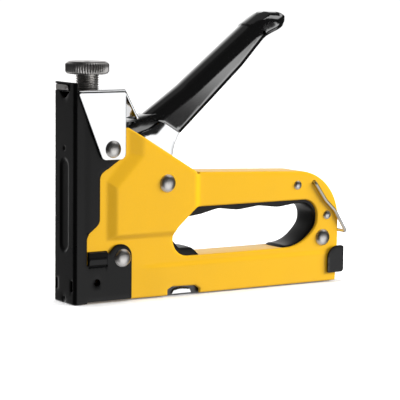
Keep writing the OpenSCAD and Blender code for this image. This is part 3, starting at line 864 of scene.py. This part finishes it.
# ---- handle
# the lever's side plate, from the pivot up to the grip and back down
CHEEK = [
    (64.8, 60, 0.5), (60.2, 73, 12), (61.9, 81, 10), (67.6, 92.9, 3), (102.4, 122.4, 2), (98.8, 129.1, 2),
    (61.8, 101.4, 2), (57, 97.2, 1), (53.2, 93.4, 1), (47.6, 90.1, 3), (41.4, 88.3, 2), (38.4, 84.2, 2), (47.2, 58, 0.5)
]


def lever():
    body = Body()
    for y0, y1 in ((7.3, 8.5), (-8.5, -7.3)):
        slab(body, CHEEK, y0, y1, 0.25, step=5, longest=1.5, arc=6)
        slab(body, disc(*PIVOT, 9.0, 1.2), y0 + 0.02, y1 - 0.02, 0.25, holes=[disc(*PIVOT, 3.1, 0.8)])
    slab(body, [(61.8, 101.4, 0), (62.5, 100.5, 0), (98.3, 127.3, 0), (98.8, 129.1, 0)], -7.4, 7.4, 0.1, step=6)
    fit(body.make("handle_cheeks", 40), "handle", "bright_chrome", chrome(), "handle_lever")


lever()
LIFT_R = 37.2
FINGER_TIP = np.array([28, 50.6])


def lifter():
    body = Body()
    arc = [(PIVOT[0] + LIFT_R * math.cos(math.radians(a)), PIVOT[1] + LIFT_R * math.sin(math.radians(a)), 0)
           for a in range(90, 129, 2)]
    arc[0], arc[-1] = (*arc[0][:2], 0.8), (*arc[-1][:2], 0.8)
    slab(body, [(PIVOT[0], PIVOT[1], 0), *arc], -6.6, 6.6, 0.7, step=5, longest=1.2)
    slab(body, disc(*PIVOT, 8.5, 1.2), -6.6, 6.6, 0.5, holes=[disc(*PIVOT, 3.1, 0.8)])
    p = np.array(PIVOT)
    along = unit(FINGER_TIP - p)
    across_it = np.array([-along[1], along[0]])
    tip = FINGER_TIP + along * 3.0
    corners = [p - 6 * across_it, tip - 2.8 * across_it, tip + 2.8 * across_it, p + 6 * across_it]
    turn = [(c[0], c[1], 2.6 if i in (1, 2) else 0) for i, c in enumerate(corners)]
    area = sum(turn[i][0] * turn[(i + 1) % 4][1] - turn[(i + 1) % 4][0] * turn[i][1] for i in range(4))
    slab(body, turn if area > 0 else turn[::-1], -3.8, 3.8, 0.6, step=4)
    fit(body.make("lifting_arm", 40), "handle", "black_paint", gloss_black(), "lifting_lever")


lifter()

GRIP_HALF = span("handle_grip")[1][1]
GRIP = [
    (48, 97.7, 0.4), (51, 94.3, 1), (55, 93.2, 4), (65, 87.2, 1), (104, 122.3, 40), (119, 138.2, 12),
    (135.8, 145.6, 1.6), (135.6, 148, 1.6), (129, 151.9, 4.5), (121.5, 151.9, 8),
    (110.8, 145.1, 0.8), (110.2, 143.9, 0.4), (70, 112.4, 60)
]
# how far below the crest the side starts, with a crease
CROWN = 5.9


def grip():
    crest = Outline([(48, 97.7), (70, 112.4, 60), (118, 150), (118, 80), (48, 80)], 0.8, 3)
    body_top = crest.ring(0)
    body_top = body_top[(body_top[:, 1] > 97.6) & (body_top[:, 0] < 110.2)]
    tip_top = np.array([(110.2, 143.9), (110.8, 145.1), (120, 150.9), (123, 151.9), (129, 151.9)])
    top = np.vstack([body_top, tip_top])
    rim = np.array([(65, 87.2), (104, 122.3), (119, 138.2), (135.8, 145.6)])
    mouth = np.array([(48, 97.7), (51, 94.3), (55, 93.2), (65, 87.2)])

    def dist(u, v, line):
        return gap(np.stack([u, v], -1), line[:-1], line[1:])

    def fall(d, r):
        d = np.clip(d, 0, r)
        return r - np.sqrt(np.maximum(r * r - (r - d) ** 2, 0))

    def half(u, v):
        up, low, front = dist(u, v, top), dist(u, v, rim), dist(u, v, mouth)
        # crown over the lever, with a slope left where it meets the side
        t = np.clip(up / CROWN, 0, 1)
        crown = 0.9 * (1 - (1 - t) ** 2.6) ** (1 / 2.6) + 0.1 * t
        # the side turns up a little towards the mouth
        along = (u - 48) * 0.8 + (v - 97.7) * 0.6
        lean = 0.078 * soft((69 - along) / 78)
        h = GRIP_HALF * crown - lean * np.where(up > CROWN, low, np.maximum(up + low - CROWN, 0))
        # oval rest at the tip
        oval = soft(2.0 - 1.5 * np.hypot((u - 121.0) / 6.0, (v - 143.6) / 4.6))
        rest = GRIP_HALF - 0.25 - 0.0028 * np.maximum(v - 140.5, 0) ** 2
        h = h + (rest - h) * oval
        # round end, seen from above
        end = np.clip((135.9 - u) / GRIP_HALF, 0, 1)
        h = h * np.sqrt(1 - (1 - end) ** 2)
        # bevel along the rim
        near = np.clip(2.2 - low, 0, 2.2)
        bevel = np.where(near < 0.4, near ** 2 / 0.8, near - 0.2)
        return h - 0.6 * bevel * np.minimum(h / 2.5, 1) - 0.4 * fall(front, 0.8)

    insets = [2.6, 2.0, 1.45, 1.0, 0.6, 0.3, 0.12, 0.03]
    path = [(i, half) for i in insets] + [(i, lambda u, v: -half(u, v)) for i in insets[::-1]]
    body = Body()
    line = Outline(GRIP, 1.6, 7)
    seams = []
    for k in (CROWN - 0.8, CROWN - 0.08, CROWN + 0.08, CROWN + 0.8):
        seam = crest.ring(k)
        seams.append(seam[(seam[:, 0] < 113) & (seam[:, 1] > 98 - 0.6 * k) & (gap(seam, rim[:-1], rim[1:]) > 3)])
    skin(body, (line, path), [], half, lambda u, v: -half(u, v), upright, 1.1, seams=seams)
    piece = body.make("grip_shell", 50, merge=0.01)
    # open channel for the lever
    cutter = Body()
    slab(cutter, [(40, 88, 0), (60, 80, 0), (110, 118.5, 0), (112, 125, 0), (100.9, 131.2, 0), (61, 101.35, 0),
                  (45.5, 91, 0)], -8.56, 8.56, 0.05, step=9)
    channel_tool = cutter.make("grip_channel_tool", 30)
    arcs = Body()
    slab(arcs, disc(*PIVOT, LIFT_R + 0.4, 1.5), -6.75, 6.75, 0.05, step=12)
    arc_tool = arcs.make("grip_arc_tool", 30)
    hang = Body()
    slab(hang, disc(118, 140.3, 1.2, 0.4), -14, 14, 0.05, step=2)
    hole_tool = hang.make("grip_hole_tool", 30)
    carve(piece, "DIFFERENCE", (channel_tool, arc_tool, hole_tool))
    fit(piece, "handle", "grip_plastic", grip_plastic(), "handle_grip")


grip()


# ---- finger liner
def liner_piece():
    """A plate with a rounded opening, trimmed to the opening of the casing."""
    free = [
        (61.5, 29.6, 2.5), (65.5, 25.3, 3), (73.5, 25.3, 4), (79.2, 20, 0.5), (130.6, 20, 0.5),
        (134.4, 22, 2), (143.4, 22, 20), (154.3, 33, 9), (154.3, 45.2, 8),
        (141.5, 45.2, 8), (130.2, 43.8, 18), (117, 45.4, 12), (103.5, 43.8, 18),
        (90.5, 45.4, 10), (79.5, 42.9, 9), (69.4, 41.6, 3), (61.5, 34.5, 8)
    ]
    y1, r = 8.55, 0.9
    ring = Body()
    front, back = flat_height(y1), flat_height(-y1)
    path = lip(front, back, r, 4)
    mid = [(-0.22, flat_height(y1 * 0.5)), (-0.32, flat_height(0)), (-0.22, flat_height(-y1 * 0.5))]
    path = path[:5] + mid + path[5:]
    big = Outline([(50, 14, 0), (165, 14, 0), (165, 54, 0), (50, 54, 0)], 4.0)
    skin(ring, (big, lip(front, back, 0.1, 1)), [(Outline(free, 1.2, 6), path)], front, back, upright, 6.0)
    piece = ring.make("finger_liner_shell", 50, merge=0.001)
    trim = Body()
    slab(trim, Outline(FINGER, 1.5, 6), -12, 12, 0.02, step=8)
    carve(piece, "INTERSECT", (trim.make("liner_tool", 30),))
    fit(piece, "frame", "liner_plastic", liner_plastic(), "finger_liner")


liner_piece()


# ---- wire bail
def bail():
    body = Body()
    y, r = 11.2, 0.9
    leg = [(153, 56.7), (160.4, 46.4), (166.8, 40.4), (174.6, 28)]
    near = [(leg[0][0], -8.0, leg[0][1], 0), (leg[0][0], -y, leg[0][1], 1.15)]
    near += [(x, -y, z, q) for (x, z), q in zip(leg[1:], (5, 5, 1.3))]
    far = [(x, -b, z, q) for x, b, z, q in near[::-1]]
    tube(body, bent(near + far, 0.9, 12), r, 16)
    fit(body.make("bail_wire", 60), "bail", "bright_chrome", nickel(), "wire_bail")


bail()


# ---- rear clip and magazine catch
def clip():
    hi = span("rear_clip")[1]
    half, r, t = hi[1], 1.7, 1.1
    s_of = lambda x: half - r + r * math.pi / 2 + (hi[0] - r - x)
    right = [(s_of(171.6), 5.1, 1.6), (s_of(162), 5.0, 1.2), (s_of(162), 20.3, 6.8), (s_of(171.4), 20.3, 1.4)]
    right = [(half - 2.6, 7.2, 0.8)] + right + [(half - 2.4, 18.8, 0.8)]
    line = Outline(right + mirrored(right), 0.8, 9)
    front, back = flat_height(0), flat_height(-t)

    def place(s, z, h):
        ahead, y = wrap(half, r, s, h)
        return np.stack([hi[0] - ahead, y, z], -1)

    body = Body()
    zones = both_sides(half - r - 0.5, half - r + r * math.pi / 2 + 0.8, 5.4, 20.0, 0.3, 1.0)
    skin(body, (line, lip(front, back, 0.3, 3)), [(disc(0, 16.9, 1.15, 0.5), lip(front, back, 0.15, 2))],
         front, back, place, 2.4, zones)
    fit(body.make("pull_clip", 40), "magazine_slide", "dark_steel", dark_steel(), "rear_clip")


clip()


def catch():
    body = Body()
    tab = [(60.6, 0.7, 0.3), (73.4, 0.7, 0.3), (72.4, 3.2, 1.4), (66.4, 4.3, 6), (62.2, 3.2, 1.6)]
    for y0, y1 in ((7.9, 8.7), (-8.7, -7.9)):
        slab(body, tab, y0, y1, 0.25, step=2, longest=0.8)
    fit(body.make("catch_tabs", 40), "frame", "bright_chrome", chrome(), "magazine_catch")


catch()

# ---- CAD pieces that stay
STAY = {
    "spring_seat": zinc, "hammer": dark_steel, "driver_blade": zinc, "hammer_pins": zinc, "bumper_pad": rubber,
    "bumper_stop": zinc, "pivot_washers": zinc, "rivet_spacers": zinc, "magazine_channel": dark_steel,
    "staple_rail": zinc, "staple_pusher": zinc, "pusher_rod": zinc,
}
for name, make in STAY.items():
    node = frame["nodes"][name]
    node.data.materials.clear()
    node.data.materials.append(make())
    smooth(node.data, 35)
    trim = node.modifiers.new("edge", "BEVEL")
    trim.width, trim.segments, trim.limit_method, trim.angle_limit = 0.12 * MM, 2, "ANGLE", math.radians(50)

# ---- floor, light and camera
def studio_floor():
    """A round white floor that runs into the white surroundings."""
    bm = bmesh.new()
    sides = 96
    turns = np.linspace(0, 2 * math.pi, sides, endpoint=False)
    rings = [[bm.verts.new((r * math.cos(a), r * math.sin(a), 0)) for a in turns] for r in (0.3, 0.8, 4.0)]
    bm.faces.new(rings[0])
    for p, q in zip(rings, rings[1:]):
        for i in range(sides):
            k = (i + 1) % sides
            bm.faces.new((p[i], q[i], q[k], p[k]))
    mesh = bpy.data.meshes.new("floor")
    bm.to_mesh(mesh)
    bm.free()
    obj = add_object("floor", mesh)
    m = bpy.data.materials.new("floor_white")
    m.use_nodes = True
    b = m.node_tree.nodes["Principled BSDF"]
    b.inputs["Base Color"].default_value = (0.9, 0.9, 0.9, 1)
    b.inputs["Roughness"].default_value = 0.6
    b.inputs["Specular IOR Level"].default_value = 0.0
    b.inputs["Emission Color"].default_value = (1, 1, 1, 1)
    b.inputs["Emission Strength"].default_value = 0.08
    obj.data.materials.append(m)
    obj.location.z = -0.0003
    obj.visible_diffuse = False
    obj.visible_glossy = False
    # a broad light from above for the floor alone
    lamp = bpy.data.lights.new("floor_light", "SUN")
    lamp.energy, lamp.angle = 2.7, math.radians(22)
    sun = add_object("floor_light", lamp)
    sun.rotation_euler = (math.radians(-5), math.radians(4), 0)
    only = bpy.data.collections.new("floor_only")
    only.objects.link(obj)
    sun.light_linking.receiver_collection = only


studio_floor()


def area(name, azimuth, lift, size, level):
    """A soft lamp for the matt part of the finishes, placed by its direction; level is what a white face turned
    to it sends back."""
    aim, away = Vector((0, 0, 0.06)), 1.6
    az, el = math.radians(azimuth), math.radians(lift)
    lamp = bpy.data.lights.new(name, "AREA")
    lamp.shape, lamp.size = "SQUARE", size
    lamp.energy = level * math.pi ** 2 * away ** 2
    obj = add_object(name, lamp)
    way = Vector((math.cos(el) * math.cos(az), math.cos(el) * math.sin(az), math.sin(el)))
    obj.location = aim + way * away
    obj.rotation_mode = "QUATERNION"
    obj.rotation_quaternion = way.to_track_quat("Z", "Y")
    obj.visible_glossy = False


area("key", -30, 14, 0.9, 1.45)
area("fill", -95, 25, 1.0, 0.1)
area("back", 112, 22, 1.0, 0.75)


def studio_world():
    """Near white to the camera. Reflections see white in front below the horizon, a white strip on the side
    above it, a bright back, a white ceiling and a grey ground; the rest is dark."""
    world = bpy.data.worlds.new("studio")
    bpy.context.scene.world = world
    world.use_nodes = True
    nt = world.node_tree
    nt.nodes.clear()
    n, link = nt.nodes.new, nt.links.new
    out, shade = n("ShaderNodeOutputWorld"), n("ShaderNodeBackground")
    link(shade.outputs[0], out.inputs[0])
    where, parts, azimuth = n("ShaderNodeTexCoord"), n("ShaderNodeSeparateXYZ"), n("ShaderNodeMath")
    link(where.outputs["Generated"], parts.inputs[0])
    azimuth.operation = "ARCTAN2"
    link(parts.outputs[1], azimuth.inputs[0])
    link(parts.outputs[0], azimuth.inputs[1])

    def levels(source, low, high, stops):
        turn, r = n("ShaderNodeMapRange"), n("ShaderNodeValToRGB")
        turn.inputs["From Min"].default_value, turn.inputs["From Max"].default_value = low, high
        link(source, turn.inputs["Value"])
        link(turn.outputs[0], r.inputs[0])
        r.color_ramp.interpolation = "EASE"
        e = r.color_ramp.elements
        while len(e) < len(stops):
            e.new(0.5)
        for k, (at, value) in enumerate(stops):
            e[k].position = (at - low) / (high - low)
            e[k].color = (value, value, value, 1)
        return r.outputs[0]

    def mixed(factor, a, b):
        m = n("ShaderNodeMix")
        m.data_type = "RGBA"
        link(factor, m.inputs[0])
        for k, v in ((6, a), (7, b)):
            if isinstance(v, tuple):
                m.inputs[k].default_value = v
            else:
                link(v, m.inputs[k])
        return m.outputs[2]

    def round_about(stops):
        return levels(azimuth.outputs[0], -math.pi, math.pi, [(math.radians(at), value) for at, value in stops])

    def by_height(stops):
        return levels(parts.outputs[2], -1, 1, stops)

    front = round_about([(-94, 0), (-85, 1), (-50, 1), (-39, 0)])
    back = round_about([(30, 0), (46, 1), (100, 1), (112, 0.08), (140, 0.05), (170, 0)])
    side = round_about([(-56, 0), (-48, 0.75), (-8, 0.75), (4, 0)])
    high = by_height([(-0.045, 0), (-0.012, 1)])
    higher = by_height([(0.45, 0), (0.6, 1)])
    floor = by_height([(-0.62, 1), (-0.5, 0)])
    back_z = by_height([(-0.62, 0.3), (-0.5, 0.9), (0.3, 0.9), (0.6, 0.05)])
    dark, bright, ground = (0.012, 0.012, 0.012, 1), (1.0, 1.0, 1.0, 1), (0.5, 0.5, 0.5, 1)
    seen = mixed(high, mixed(front, dark, bright), mixed(higher, dark, mixed(side, dark, bright)))
    seen = mixed(back, mixed(floor, seen, ground), back_z)
    path = n("ShaderNodeLightPath")
    matt = by_height([(-0.6, 0.2), (0.0, 0.26), (0.7, 0.3)])
    seen = mixed(path.outputs["Is Glossy Ray"], matt, seen)
    seen = mixed(path.outputs["Is Camera Ray"], seen, (0.85, 0.85, 0.85, 1))
    link(seen, shade.inputs[0])
    shade.inputs[1].default_value = 1.25


studio_world()

view = bpy.context.scene.view_settings
view.view_transform = "Standard"
view.look = "None"
view.exposure = 0.0


def camera():
    """The camera, in front and to the left, a little above the tool."""
    yaw, pitch, roll = math.radians(32.414), math.radians(6.732), math.radians(0.621)
    back = Vector((-math.sin(yaw) * math.cos(pitch), -math.cos(yaw) * math.cos(pitch), math.sin(pitch)))
    right = Vector((math.cos(yaw), -math.sin(yaw), 0))
    up = back.cross(right)
    r2 = right * math.cos(roll) + up * math.sin(roll)
    u2 = -right * math.sin(roll) + up * math.cos(roll)
    cam = bpy.data.cameras.new("camera")
    cam.lens, cam.sensor_width, cam.sensor_height = 166.5, 36.0, 36.0
    cam.dof.use_dof = False
    cam.clip_start, cam.clip_end = 0.01, 50
    obj = add_object("camera", cam)
    rot = Matrix((r2, u2, back)).transposed()
    where = Vector((-452.8 + NOSE_X, -845.0, 167.6)) * MM
    obj.matrix_world = Matrix.Translation(where) @ rot.to_4x4()
    bpy.context.scene.camera = obj


camera()
